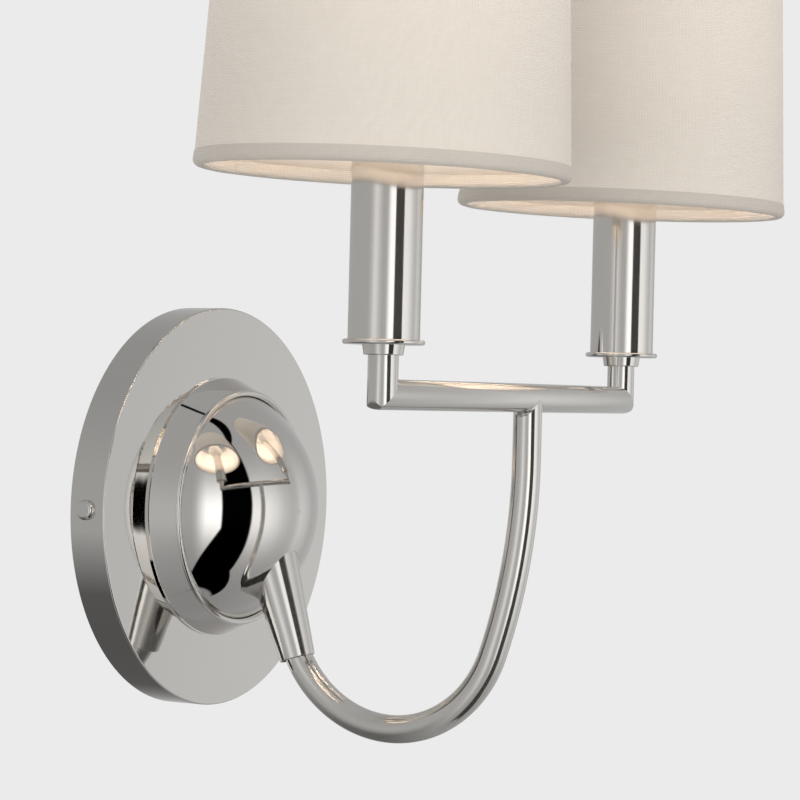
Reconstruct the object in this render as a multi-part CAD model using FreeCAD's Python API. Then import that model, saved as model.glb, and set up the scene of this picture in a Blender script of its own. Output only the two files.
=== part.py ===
"""Double arm wall sconce: a round canopy on the wall, one J-shaped arm, a crossbar and two shaded lights.

Millimetres. The origin is on the wall, at the centre of the backplate's rear rim. +X runs to the right along
the wall, +Y into the wall and +Z up, so the light stands out from the wall towards -Y.
"""
import FreeCAD, Part

import math
import os

# ---------------------------------------------------------------- wall side
PLATE_R = 69.5                # backplate, outside radius
PLATE_DEPTH = 13.7            # wall to the front face of the backplate
PLATE_WALL = 1.5              # sheet of the spun pan
PLATE_EDGE_ROUND = 0.6        # crisp front edge of the pan
PLATE_HOLE_R = 26.0           # opening behind the dome, where the leads come through
RIM_HOLE_CLEARANCE = 0.25     # rim holes round the shanks of the two rim screws

STRAP_WIDTH = 20.0            # mounting strap, flat bar bent up at both ends
STRAP_THICK = 2.0
STRAP_TAB_HEIGHT = 11.0       # bent ends, which the rim screws pull on
STRAP_TO_RIM = 0.3            # tab corners to the inside of the pan
STRAP_CENTRE_HOLE_R = 5.0     # way out for the house wires
BOX_SCREW_SPACING = 88.9      # centres of the two slots, as the screws of a round wall box
BOX_SLOT_WIDTH = 5.0
BOX_SLOT_LENGTH = 12.0
GROUND_SCREW_X = 20.0

SCREW_SHANK_R = 1.95          # M4 machine screws: rim screws and ground screw
SCREW_HEAD_R = 3.4
SCREW_HEAD_HEIGHT = 2.0
SCREW_HEAD_ROUND = 1.3
SCREW_LENGTH = 8.0
SCREW_FIT = 0.05              # tapped holes, threads left out

# ---------------------------------------------------------------- collar and dome
COLLAR_BASE_R = 45.4          # turned cone ring that stands on the backplate
COLLAR_LIP_HEIGHT = 0.7       # thin upright edge at its base
COLLAR_LIP_STEP = 0.4
COLLAR_FRONT_R = 41.05        # outside of the half-round front bead
COLLAR_HEIGHT = 10.1          # backplate to the crown of the bead
COLLAR_WALL = 1.5
COLLAR_BEAD_R = 1.1           # section of the bead
COLLAR_BEAD_FLAT = 0.02       # left along its crown
DOME_R = 44.0                 # spherical cap held under the bead
DOME_RISE = 32.0              # backplate to the crown of the dome
DOME_WALL = 1.2

# ---------------------------------------------------------------- arm
TUBE_R = 4.75                 # arm, crossbar and posts: one stock of tube
TUBE_BORE_R = 3.6
BRAZE_GAP = 0.05              # brazed and sliding seats between fixed pieces
LIGHT_REACH = 127.3           # wall to the axes of the two lights
CROSSBAR_Z = 40.6             # crossbar's axis above the centre of the backplate
CROSSBAR_TURN = 8.6           # degrees that each half of the bar turns: it bows away from the wall
TEE_HOLE_R = 3.1              # drilled through the crossbar's underside for the leads
ARM_UPPER_BEND_R = 201.0      # long easy bend below the upright
ARM_UPPER_TURN = 19.0         # degrees of that bend
ARM_RETURN_BEND_R = 42.6      # bend from the lowest point back up to the ferrule
FERRULE_LEAN = 19.0           # degrees between the ferrule's axis and the upright
FERRULE_MOUTH_Y = -46.5       # centre of the ferrule's small end
FERRULE_MOUTH_Z = -51.0
FERRULE_MOUTH_R = 6.15
FERRULE_TAPER = 0.079         # radius gained for each millimetre of length
FERRULE_LENGTH = 37.0
FERRULE_LIP_ROUND = 0.22
FERRULE_BORE_R = 5.7          # wide mouth, which the bent tube leaves off-centre
FERRULE_BORE_DEPTH = 7.7      # the tube is straight above this depth
ARM_STUB = 6.0                # threaded end of the tube above the ferrule
ARM_NUT_FLATS = 14.0
ARM_NUT_HEIGHT = 3.5

# ---------------------------------------------------------------- crossbar ends
LIGHT_SPACING = 165.0         # between the axes of the two lights
ELBOW_OUTER_ROUND = 3.4       # outside corner of the tight elbow
ELBOW_INNER_ROUND = 0.8
POST_HEIGHT = 13.7            # crossbar's axis to the top of the post
COUPLING_TOP_R = 6.6          # short collar under the flange
COUPLING_FOOT_R = 6.1
COUPLING_HEIGHT = 3.2
COUPLING_SEAT = 1.7           # how deep the post goes into it
COUPLING_CHAMFER = 0.4
FLANGE_R = 12.7               # disc that carries the candle sleeve
FLANGE_THICK = 1.6
FLANGE_EDGE_ROUND = 0.7

# ---------------------------------------------------------------- lamp holders
NIPPLE_R = 4.0                # threaded tube that clamps coupling, flange and leg
NIPPLE_BORE_R = 2.9
NIPPLE_DEPTH = 4.0            # how far it screws into the post
NIPPLE_END = 0.5              # thread above the upper nut
NUT_FLATS = 12.0
NUT_HEIGHT = 2.5
NUT_BEVEL = 0.15              # share of a nut's height that its corners lose
SLEEVE_R = 11.1               # candle sleeve
SLEEVE_WALL = 0.7
SLEEVE_EDGE_ROUND = 0.28
SLEEVE_HEIGHT = 76.2
SOCKET_R = 9.4                # candelabra lamp holder inside the sleeve
SOCKET_EDGE_ROUND = 0.8
SOCKET_HEIGHT = 36.0
SOCKET_BELOW_SLEEVE = 1.0     # top of the holder below the sleeve's mouth
SOCKET_FLOOR = 8.0
SHELL_R = 6.9                 # screw shell inside the holder
SHELL_WALL = 0.5
SHELL_HEIGHT = 24.0
LEG_WIDTH = 8.0               # steel strip that carries the holder
LEG_THICK = 1.0
LEG_OFFSET = 7.4              # strip's outer face from the light's axis
LEG_FOOT_R = 6.5
LEG_TAB = 5.4                 # upper tab under the holder

# ---------------------------------------------------------------- bulbs
BASE_GAP = 0.3                # contact of the bulb's base to the holder's floor
BASE_RUNNING = 0.08           # screw base in its shell
BASE_HEIGHT = 27.4
BASE_CONTACT_R = 2.4
BASE_CONTACT_HEIGHT = 3.3
BASE_EDGE_ROUND = 0.5
BULB_LENGTH = 78.0            # glass alone
BULB_POLES = [                # radius and height that pull the side of the torpedo glass, neck to tip
    (6.6, 0.0),
    (6.6, 5.0),
    (13.5, 9.0),
    (19.0, 22.0),
    (16.5, 40.0),
    (11.5, 55.0),
    (5.0, 68.0),
    (4.2, BULB_LENGTH),
    (0.0, BULB_LENGTH),
]

# ---------------------------------------------------------------- shades
SHADE_FOOT_R = 58.0           # outside radius at the lower hem
SHADE_TOP_R = 52.1
SHADE_HEIGHT = 114.0
SHADE_DROP = 26.0             # lower hem below the sleeve's mouth
SHADE_SKIN = 0.8              # linen on its stiff backing
SHADE_LEAN = 1.5              # degrees that the shades lean forward on their bulbs
HEM_HEIGHT = 4.5              # fabric folded round the rings
HEM_ROUND = 1.9
HEM_INNER_ROUND = 1.1         # at the foot of the fold, towards the bulb
RING_WIRE_R = 1.15
RING_GAP = 0.1                # ring inside its fold
CLIP_WIRE_R = 0.8             # hoops of the clip
CLIP_RIB_R = 0.7              # its ribs and spokes, of thinner wire, end inside the hoops
CLIP_KNEE_BEND_R = 4.0        # bend of a rib at the bulb's shoulder
CLIP_LOWER_HEIGHT = 25.0      # hoops above the neck of the bulb
CLIP_UPPER_HEIGHT = 47.0
CLIP_GAP = 0.5                # clip's upper hoop and ribs round the bulb's shoulder
CLIP_LOWER_GAP = 1.1          # lower hoop round the widest place, room for the lean
CLIP_RIBS = 4
SPOKES = 2

# ---------------------------------------------------------------- leads
LEAD_R = 1.1                  # one lead for each light, inside the tubes all the way
LEAD_SIDE = 1.25              # each lead beside the middle of the arm
LEAD_BEND_R = 2.4             # where it turns in an elbow or at the tee
LEAD_BOW_SHARE = 0.85         # of the bar's own bend radius, so that it ends before the tee
LEAD_CANOPY_BEND_R = 8.0
CONNECTOR_X = 8.0             # twist-on caps behind the dome
CONNECTOR_Z = 6.0
CONNECTOR_R = 4.8
CONNECTOR_TIP_R = 3.2
CONNECTOR_TIP_ROUND = 1.2
CONNECTOR_MOUTH_ROUND = 0.4
CONNECTOR_LENGTH = 16.0
CONNECTOR_SOCKET = 7.0
CONNECTOR_BACK = -4.0         # closed end, in front of the wall

ORIGIN = FreeCAD.Vector(0, 0, 0)
X = FreeCAD.Vector(1, 0, 0)
Y = FreeCAD.Vector(0, 1, 0)
Z = FreeCAD.Vector(0, 0, 1)

# ---------------------------------------------------------------- places worked out from the sizes
PLATE_INNER_R = PLATE_R - PLATE_WALL
STRAP_HALF = math.sqrt(PLATE_INNER_R ** 2 - (STRAP_WIDTH / 2) ** 2) - STRAP_TO_RIM
TAB_MIDDLE = (STRAP_THICK + STRAP_TAB_HEIGHT) / 2
DOME_CENTRE = PLATE_DEPTH + DOME_RISE - DOME_R
LIGHTS = {"left": -LIGHT_SPACING / 2, "right": LIGHT_SPACING / 2}
ELBOW_PIVOT = TUBE_R + ELBOW_INNER_ROUND
BOW = math.radians(CROSSBAR_TURN)
BAR_HALF = LIGHT_SPACING / 2 - ELBOW_PIVOT * math.cos(BOW)
BAR_BEND_R = BAR_HALF / math.sin(BOW)
BAR_CORNER = BAR_BEND_R * math.tan(BOW / 2)
BAR_END_Y = -LIGHT_REACH - ELBOW_PIVOT * math.sin(BOW)
TEE_Y = BAR_END_Y - BAR_BEND_R * (1 - math.cos(BOW))

POST_TOP = CROSSBAR_Z + POST_HEIGHT
COUPLING_FOOT = POST_TOP - COUPLING_SEAT
FLANGE_FOOT = COUPLING_FOOT + COUPLING_HEIGHT
FLANGE_TOP = FLANGE_FOOT + FLANGE_THICK
LEG_FOOT = FLANGE_TOP + NUT_HEIGHT
NIPPLE_FOOT = POST_TOP - NIPPLE_DEPTH
NIPPLE_LENGTH = LEG_FOOT + LEG_THICK + NUT_HEIGHT + NIPPLE_END - NIPPLE_FOOT
SLEEVE_TOP = FLANGE_TOP + SLEEVE_HEIGHT
SOCKET_TOP = SLEEVE_TOP - SOCKET_BELOW_SLEEVE
SOCKET_FOOT = SOCKET_TOP - SOCKET_HEIGHT
BASE_FOOT = SOCKET_FOOT + SOCKET_FLOOR + BASE_GAP
BULB_NECK = BASE_FOOT + BASE_HEIGHT
BASE_R = SHELL_R - SHELL_WALL - BASE_RUNNING
SHADE_FOOT = SLEEVE_TOP - SHADE_DROP
CLIP_LOWER = BULB_NECK + CLIP_LOWER_HEIGHT
CLIP_UPPER = BULB_NECK + CLIP_UPPER_HEIGHT

# the arm's path in the middle plane, as the corners of its centre line in Y and Z
LEAN = math.radians(FERRULE_LEAN)
TURN = math.radians(ARM_UPPER_TURN)
UPWARD = (math.sin(LEAN), math.cos(LEAN))
BEND_END_Y = FERRULE_MOUTH_Y + FERRULE_BORE_DEPTH * UPWARD[0]
BEND_END_Z = FERRULE_MOUTH_Z + FERRULE_BORE_DEPTH * UPWARD[1]
ARM_FOOT_Y = BEND_END_Y - ARM_RETURN_BEND_R * math.cos(LEAN)
ARM_FOOT_Z = BEND_END_Z - ARM_RETURN_BEND_R * (1 - math.sin(LEAN))
ARM_FRONT_BEND_R = (ARM_FOOT_Y - TEE_Y - ARM_UPPER_BEND_R * (1 - math.cos(TURN))) / math.cos(TURN)
UPPER_TANGENT = ARM_UPPER_BEND_R * math.tan(TURN / 2)
FRONT_TANGENT = ARM_FRONT_BEND_R * math.tan((math.pi / 2 - TURN) / 2)
RETURN_TANGENT = ARM_RETURN_BEND_R * math.tan((math.pi / 2 - LEAN) / 2)
UPPER_CORNER_Y = TEE_Y
UPPER_CORNER_Z = ARM_FOOT_Z + (UPPER_TANGENT + FRONT_TANGENT) * math.cos(TURN)
FRONT_CORNER_Y = ARM_FOOT_Y - FRONT_TANGENT
RETURN_CORNER_Y = ARM_FOOT_Y + RETURN_TANGENT
ARM_END_RUN = FERRULE_LENGTH - FERRULE_BORE_DEPTH + ARM_STUB
ARM_END_Y = BEND_END_Y + ARM_END_RUN * UPWARD[0]
ARM_END_Z = BEND_END_Z + ARM_END_RUN * UPWARD[1]


# ---------------------------------------------------------------- making solids
def outline(corners):
    """Edges of a closed outline; each corner is (radius, height) or (radius, height, rounding)."""
    path = [(FreeCAD.Vector(c[0], 0, c[1]), c[2] if len(c) > 2 else 0.0) for c in corners]
    return rounded_edges(path, closed=True)


def rounded_edges(path, closed=False):
    """Straight runs joined by tangent arcs, through corners given as (point, bend radius)."""
    count = len(path)
    ends = []
    for i, (point, radius) in enumerate(path):
        if radius == 0 or (not closed and i in (0, count - 1)):
            ends.append((point, None, point))
            continue
        back = (path[i - 1][0] - point).normalize()
        onward = (path[(i + 1) % count][0] - point).normalize()
        half = back.getAngle(onward) / 2
        middle = (back + onward).normalize()
        reach = radius / math.tan(half)
        crown = point + middle * (radius / math.sin(half) - radius)
        ends.append((point + back * reach, crown, point + onward * reach))
    edges = []
    for i in range(count):
        start, crown, stop = ends[i]
        if crown:
            edges.append(Part.Arc(start, crown, stop).toShape())
        if i == count - 1 and not closed:
            break
        follow = ends[(i + 1) % count][0]
        if (follow - stop).Length > 1e-6:
            edges.append(Part.LineSegment(stop, follow).toShape())
    return edges


def turned(corners):
    """A solid turned on the Z axis from the outline of its section."""
    return Part.Face(Part.Wire(outline(corners))).revolve(ORIGIN, Z, 360)


def off_wall(shape):
    """Turns a piece made along Z so that its height runs out from the wall."""
    shape.rotate(ORIGIN, X, 90)
    return shape


def tube(path, radius):
    """A round bar that follows straight runs and tangent arcs."""
    edges = rounded_edges(path)
    spine = Part.Wire(edges)
    along = edges[0].tangentAt(edges[0].FirstParameter)
    ring = Part.Circle(path[0][0], along, radius).toShape()
    return spine.makePipeShell([Part.Wire(ring)], True, False)


def cylinder(radius, height, base, direction):
    return Part.makeCylinder(radius, height, base, direction)


def hex_nut(flats, height, hole_r):
    corner_r = flats / math.sqrt(3)
    corners = []
    for i in range(7):
        angle = math.radians(60 * i)
        corners.append(FreeCAD.Vector(corner_r * math.cos(angle), corner_r * math.sin(angle), 0))
    body = Part.Face(Part.makePolygon(corners)).extrude(FreeCAD.Vector(0, 0, height))
    bevel_foot = height * (1 - NUT_BEVEL)
    bevel = turned([(0, 0), (corner_r, 0), (corner_r, bevel_foot), (flats / 2, height), (0, height)])
    return body.common(bevel).cut(cylinder(hole_r, height, ORIGIN, Z))


def screw(length):
    """A round-head screw: its head stands on Z = 0, its shank points down."""
    head = turned([
        (0, 0),
        (SCREW_HEAD_R, 0),
        (SCREW_HEAD_R, SCREW_HEAD_HEIGHT, SCREW_HEAD_ROUND),
        (0, SCREW_HEAD_HEIGHT),
    ])
    return head.fuse(cylinder(SCREW_SHANK_R, length, FreeCAD.Vector(0, 0, -length), Z))


def export(name, shape):
    shape.exportStep("parts/" + name + ".step")


def at_light(shape, side, height=0.0):
    """Moves a piece made on the Z axis to its light."""
    placed = shape.copy()
    placed.translate(FreeCAD.Vector(LIGHTS[side], -LIGHT_REACH, height))
    return placed


# ---------------------------------------------------------------- wall side
def mounting_strap():
    """Flat bar with its ends bent up, two slots for the wall box and a tapped hole in each end."""
    half_width = STRAP_WIDTH / 2
    bar = Part.makeBox(2 * STRAP_HALF, STRAP_THICK, STRAP_WIDTH,
                       FreeCAD.Vector(-STRAP_HALF, -STRAP_THICK, -half_width))
    for side in (-1, 1):
        inner = side * STRAP_HALF - (STRAP_THICK if side > 0 else 0)
        tab = Part.makeBox(STRAP_THICK, STRAP_TAB_HEIGHT, STRAP_WIDTH,
                           FreeCAD.Vector(inner, -STRAP_TAB_HEIGHT, -half_width))
        bar = bar.fuse(tab)
    bar = bar.removeSplitter()
    for side in (-1, 1):
        run = (BOX_SLOT_LENGTH - BOX_SLOT_WIDTH) / 2
        for end in (-run, run):
            middle = side * BOX_SCREW_SPACING / 2 + end
            bar = bar.cut(cylinder(BOX_SLOT_WIDTH / 2, STRAP_THICK, FreeCAD.Vector(middle, 0, 0), -Y))
        bar = bar.cut(Part.makeBox(2 * run, STRAP_THICK, BOX_SLOT_WIDTH, FreeCAD.Vector(
            side * BOX_SCREW_SPACING / 2 - run, -STRAP_THICK, -BOX_SLOT_WIDTH / 2)))
        tapped = FreeCAD.Vector(side * (STRAP_HALF - STRAP_THICK), -TAB_MIDDLE, 0)
        bar = bar.cut(cylinder(SCREW_SHANK_R + SCREW_FIT, STRAP_THICK, tapped, X * side))
    bar = bar.cut(cylinder(STRAP_CENTRE_HOLE_R, STRAP_THICK, ORIGIN, -Y))
    ground = FreeCAD.Vector(GROUND_SCREW_X, 0, 0)
    return bar.cut(cylinder(SCREW_SHANK_R + SCREW_FIT, STRAP_THICK, ground, -Y))


def rim_screws():
    """The two screws that hold the backplate's rim to the strap's tabs, at three and nine o'clock."""
    pair = []
    for side in (-1, 1):
        one = screw(SCREW_LENGTH)
        one.rotate(ORIGIN, Y, 90 * side)
        one.translate(FreeCAD.Vector(side * PLATE_R, -TAB_MIDDLE, 0))
        pair.append(one)
    return Part.makeCompound(pair)


def ground_screw():
    piece = off_wall(screw(STRAP_THICK))
    piece.translate(FreeCAD.Vector(GROUND_SCREW_X, -STRAP_THICK, 0))
    return piece


def backplate():
    """Spun pan, open towards the wall."""
    pan = off_wall(turned([
        (PLATE_INNER_R, 0),
        (PLATE_R, 0),
        (PLATE_R, PLATE_DEPTH, PLATE_EDGE_ROUND),
        (PLATE_HOLE_R, PLATE_DEPTH),
        (PLATE_HOLE_R, PLATE_DEPTH - PLATE_WALL),
        (PLATE_INNER_R, PLATE_DEPTH - PLATE_WALL),
    ]))
    across = FreeCAD.Vector(-PLATE_R, -TAB_MIDDLE, 0)
    return pan.cut(cylinder(SCREW_SHANK_R + RIM_HOLE_CLEARANCE, 2 * PLATE_R, across, X))


def collar():
    """Turned cone ring with a thin base edge and a half-round bead, which holds the dome's edge down."""
    foot = PLATE_DEPTH
    lip = foot + COLLAR_LIP_HEIGHT
    crown = foot + COLLAR_HEIGHT
    cone_r = COLLAR_BASE_R - COLLAR_LIP_STEP
    waist = crown - COLLAR_BEAD_R
    bead_r = COLLAR_BEAD_R - COLLAR_BEAD_FLAT
    return off_wall(turned([
        (cone_r - COLLAR_WALL, foot),
        (COLLAR_BASE_R, foot),
        (COLLAR_BASE_R, lip),
        (cone_r, lip),
        (COLLAR_FRONT_R, waist),
        (COLLAR_FRONT_R, crown, bead_r),
        (COLLAR_FRONT_R - 2 * COLLAR_BEAD_R, crown, bead_r),
        (COLLAR_FRONT_R - 2 * COLLAR_BEAD_R, waist),
        (COLLAR_FRONT_R - COLLAR_WALL, waist - COLLAR_BEAD_R),
    ]))


def dome_shell():
    ball = Part.makeSphere(DOME_R).cut(Part.makeSphere(DOME_R - DOME_WALL))
    ball.translate(FreeCAD.Vector(0, 0, DOME_CENTRE))
    keep = cylinder(DOME_R + 1, DOME_RISE + 1, FreeCAD.Vector(0, 0, PLATE_DEPTH), Z)
    return off_wall(ball.common(keep))


def along_ferrule(shape):
    """Sets a piece made from Z = 0 upwards on the ferrule's axis, measured from its mouth."""
    shape.rotate(ORIGIN, X, -FERRULE_LEAN)
    shape.translate(FreeCAD.Vector(0, FERRULE_MOUTH_Y, FERRULE_MOUTH_Z))
    return shape


def ferrule_top_r():
    return FERRULE_MOUTH_R + FERRULE_TAPER * FERRULE_LENGTH


def dome():
    hole = along_ferrule(turned([
        (0, 0),
        (FERRULE_MOUTH_R + BRAZE_GAP, 0),
        (ferrule_top_r() + BRAZE_GAP, FERRULE_LENGTH),
        (0, FERRULE_LENGTH),
    ]))
    return dome_shell().cut(hole)


def ferrule():
    """Tapered sleeve brazed through the dome. Its mouth is bored wide, where the arm starts to bend."""
    top = FERRULE_LENGTH
    return along_ferrule(turned([
        (FERRULE_BORE_R, 0),
        (FERRULE_MOUTH_R, 0, FERRULE_LIP_ROUND),
        (ferrule_top_r(), top),
        (TUBE_R + BRAZE_GAP, top),
        (TUBE_R + BRAZE_GAP, FERRULE_BORE_DEPTH),
        (FERRULE_BORE_R, FERRULE_BORE_DEPTH),
    ]))


def arm_nut():
    piece = hex_nut(ARM_NUT_FLATS, ARM_NUT_HEIGHT, TUBE_R + BRAZE_GAP)
    piece.translate(FreeCAD.Vector(0, 0, FERRULE_LENGTH))
    return along_ferrule(piece)


# ---------------------------------------------------------------- arm and crossbar
def arm_corners(x):
    """The arm's centre line, from under the crossbar to its end inside the dome."""
    return [
        (FreeCAD.Vector(x, UPPER_CORNER_Y, UPPER_CORNER_Z), ARM_UPPER_BEND_R),
        (FreeCAD.Vector(x, FRONT_CORNER_Y, ARM_FOOT_Z), ARM_FRONT_BEND_R),
        (FreeCAD.Vector(x, RETURN_CORNER_Y, ARM_FOOT_Z), ARM_RETURN_BEND_R),
        (FreeCAD.Vector(x, ARM_END_Y, ARM_END_Z), 0),
    ]


def arm():
    """J-shaped tube, its upper end cut to the crossbar's round underside."""
    path = [(FreeCAD.Vector(0, TEE_Y, CROSSBAR_Z), 0)] + arm_corners(0)
    return tube(path, TUBE_R).cut(tube(path, TUBE_BORE_R)).cut(bar_of(TUBE_R))


def bar_of(radius):
    """A round bar along the crossbar's gentle bow."""
    start = FreeCAD.Vector(-BAR_HALF, BAR_END_Y, CROSSBAR_Z)
    middle = FreeCAD.Vector(0, TEE_Y, CROSSBAR_Z)
    stop = FreeCAD.Vector(BAR_HALF, BAR_END_Y, CROSSBAR_Z)
    spine = Part.Wire([Part.Arc(start, middle, stop).toShape()])
    along = FreeCAD.Vector(math.cos(BOW), -math.sin(BOW), 0)
    ring = Part.Wire(Part.Circle(start, along, radius).toShape())
    return spine.makePipeShell([ring], True, False)


def crossbar():
    """Bowed tube, drilled from below at its middle, where the arm stands against it."""
    bar = bar_of(TUBE_R).cut(bar_of(TUBE_BORE_R))
    return bar.cut(cylinder(TEE_HOLE_R, 2 * TUBE_R, FreeCAD.Vector(0, TEE_Y, CROSSBAR_Z), -Z))


def left_elbow():
    """Tight mitred elbow with its post: the heel of the mitre is rounded off."""
    pivot = ELBOW_PIVOT
    reach = 4 * TUBE_R
    across = cylinder(TUBE_R, pivot + reach, FreeCAD.Vector(-reach, 0, 0), X)
    upright = cylinder(TUBE_R, POST_HEIGHT + reach, FreeCAD.Vector(0, 0, -reach), Z)
    mitre = Part.makeBox(4 * reach, 4 * reach, 2 * reach, FreeCAD.Vector(-2 * reach, -2 * reach, 0))
    mitre.rotate(ORIGIN, Y, -45)
    body = across.cut(mitre).fuse(upright.common(mitre))
    heel = Part.Face(Part.Wire(outline([
        (-TUBE_R, -TUBE_R, ELBOW_OUTER_ROUND),
        (reach, -TUBE_R),
        (reach, POST_HEIGHT),
        (-TUBE_R, POST_HEIGHT),
    ])))
    heel.translate(Y * -reach)
    body = body.common(heel.extrude(Y * (2 * reach)))
    bore = Part.makeSphere(TUBE_BORE_R).fuse([
        cylinder(TUBE_BORE_R, POST_HEIGHT, ORIGIN, Z),
        cylinder(TUBE_BORE_R, pivot, ORIGIN, X),
        cylinder(NIPPLE_R + BRAZE_GAP, NIPPLE_DEPTH, FreeCAD.Vector(0, 0, POST_HEIGHT - NIPPLE_DEPTH), Z),
    ])
    body = body.cut(bore)
    body.rotate(ORIGIN, Z, -CROSSBAR_TURN)
    return at_light(body, "left", CROSSBAR_Z)


def mirrored(shape):
    """The right-hand copy of a left-hand piece."""
    return shape.mirror(ORIGIN, X)


# ---------------------------------------------------------------- lamp holders
def coupling():
    return turned([
        (TUBE_R + BRAZE_GAP, 0),
        (COUPLING_FOOT_R, 0, COUPLING_CHAMFER),
        (COUPLING_TOP_R, COUPLING_HEIGHT),
        (NIPPLE_R + BRAZE_GAP, COUPLING_HEIGHT),
        (NIPPLE_R + BRAZE_GAP, COUPLING_SEAT),
        (TUBE_R + BRAZE_GAP, COUPLING_SEAT),
    ])


def nipple():
    rod = cylinder(NIPPLE_R, NIPPLE_LENGTH, ORIGIN, Z)
    return rod.cut(cylinder(NIPPLE_BORE_R, NIPPLE_LENGTH, ORIGIN, Z))


def nuts():
    """One nut on the flange and one on the leg's foot."""
    lower = hex_nut(NUT_FLATS, NUT_HEIGHT, NIPPLE_R + BRAZE_GAP)
    upper = lower.copy()
    lower.translate(FreeCAD.Vector(0, 0, FLANGE_TOP))
    upper.translate(FreeCAD.Vector(0, 0, LEG_FOOT + LEG_THICK))
    return Part.makeCompound([lower, upper])


def flange():
    return turned([
        (NIPPLE_R + BRAZE_GAP, 0),
        (FLANGE_R, 0, FLANGE_EDGE_ROUND),
        (FLANGE_R, FLANGE_THICK, FLANGE_EDGE_ROUND),
        (NIPPLE_R + BRAZE_GAP, FLANGE_THICK),
    ])


def sleeve():
    inner = SLEEVE_R - SLEEVE_WALL
    return turned([
        (inner, 0),
        (SLEEVE_R, 0),
        (SLEEVE_R, SLEEVE_HEIGHT, SLEEVE_EDGE_ROUND),
        (inner, SLEEVE_HEIGHT, SLEEVE_EDGE_ROUND),
    ])


def socket():
    """Moulded lamp holder: a cup for the screw shell, with a hole in its floor for the lead."""
    cup = turned([
        (0, 0),
        (SOCKET_R, 0, SOCKET_EDGE_ROUND),
        (SOCKET_R, SOCKET_HEIGHT, SOCKET_EDGE_ROUND),
        (SHELL_R + BRAZE_GAP, SOCKET_HEIGHT),
        (SHELL_R + BRAZE_GAP, SOCKET_FLOOR),
        (0, SOCKET_FLOOR),
    ])
    return cup.cut(cylinder(LEAD_R + BRAZE_GAP, SOCKET_FLOOR / 2, ORIGIN, Z))


def screw_shell():
    inner = SHELL_R - SHELL_WALL
    return turned([(inner, 0), (SHELL_R, 0), (SHELL_R, SHELL_HEIGHT), (inner, SHELL_HEIGHT)])


def socket_leg():
    """Bent steel strip: a round foot under the nut's axis, an upright and a tab under the holder."""
    rise = SOCKET_FOOT - LEG_FOOT
    half = LEG_WIDTH / 2
    foot = cylinder(LEG_FOOT_R, LEG_THICK, ORIGIN, Z)
    bridge = Part.makeBox(LEG_WIDTH, LEG_OFFSET, LEG_THICK, FreeCAD.Vector(-half, 0, 0))
    upright = Part.makeBox(LEG_WIDTH, LEG_THICK, rise, FreeCAD.Vector(-half, LEG_OFFSET - LEG_THICK, 0))
    tab = Part.makeBox(LEG_WIDTH, LEG_TAB, LEG_THICK,
                       FreeCAD.Vector(-half, LEG_OFFSET - LEG_TAB, rise - LEG_THICK))
    strip = foot.fuse([bridge, upright, tab]).removeSplitter()
    return strip.cut(cylinder(NIPPLE_R + BRAZE_GAP, LEG_THICK, ORIGIN, Z))


# ---------------------------------------------------------------- bulbs
def bulb_side():
    """The curve of the glass from neck to tip."""
    side = Part.BSplineCurve()
    side.buildFromPoles([FreeCAD.Vector(radius, 0, height) for radius, height in BULB_POLES], False, 3)
    return side


def bulb_radius(height):
    """Radius of the glass at a height above its neck."""
    side = bulb_side()
    low = side.FirstParameter
    high = side.LastParameter
    for _ in range(30):
        middle = (low + high) / 2
        if side.value(middle).z < height:
            low = middle
        else:
            high = middle
    return side.value(low).x


def bulb():
    """Torpedo glass, closed at the neck."""
    side = bulb_side()
    foot = Part.LineSegment(ORIGIN, side.StartPoint).toShape()
    spine = Part.LineSegment(side.EndPoint, ORIGIN).toShape()
    section = Part.Face(Part.Wire([foot, side.toShape(), spine]))
    return section.revolve(ORIGIN, Z, 360)


def bulb_base():
    """Screw base with its contact at the foot. It ends under the glass."""
    return turned([
        (0, 0),
        (BASE_CONTACT_R, 0, BASE_EDGE_ROUND),
        (BASE_CONTACT_R, BASE_CONTACT_HEIGHT),
        (BASE_R, 2 * BASE_CONTACT_HEIGHT, BASE_EDGE_ROUND),
        (BASE_R, BASE_HEIGHT),
        (0, BASE_HEIGHT),
    ])


# ---------------------------------------------------------------- shades
def shade_side(height):
    """Outside radius of the shade at a height above its lower hem."""
    return SHADE_FOOT_R + (SHADE_TOP_R - SHADE_FOOT_R) * height / SHADE_HEIGHT


def shade():
    """Linen cone with both edges folded in round their rings."""
    fold = 2 * SHADE_SKIN + 2 * (RING_WIRE_R + RING_GAP)
    pocket = fold - SHADE_SKIN
    top = SHADE_HEIGHT
    return turned([
        (SHADE_FOOT_R, 0, HEM_ROUND),
        (SHADE_TOP_R, top, HEM_ROUND),
        (SHADE_TOP_R - fold, top, HEM_INNER_ROUND),
        (SHADE_TOP_R - fold, top - HEM_HEIGHT),
        (SHADE_TOP_R - pocket, top - HEM_HEIGHT),
        (SHADE_TOP_R - pocket, top - SHADE_SKIN),
        (shade_side(top - SHADE_SKIN) - SHADE_SKIN, top - SHADE_SKIN, HEM_ROUND - SHADE_SKIN),
        (shade_side(SHADE_SKIN) - SHADE_SKIN, SHADE_SKIN, HEM_ROUND - SHADE_SKIN),
        (SHADE_FOOT_R - pocket, SHADE_SKIN),
        (SHADE_FOOT_R - pocket, HEM_HEIGHT),
        (SHADE_FOOT_R - fold, HEM_HEIGHT),
        (SHADE_FOOT_R - fold, 0, HEM_INNER_ROUND),
    ])


def ring_r(edge_r):
    return edge_r - SHADE_SKIN - RING_GAP - RING_WIRE_R


def ring_inset():
    return SHADE_SKIN + RING_GAP + RING_WIRE_R


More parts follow.
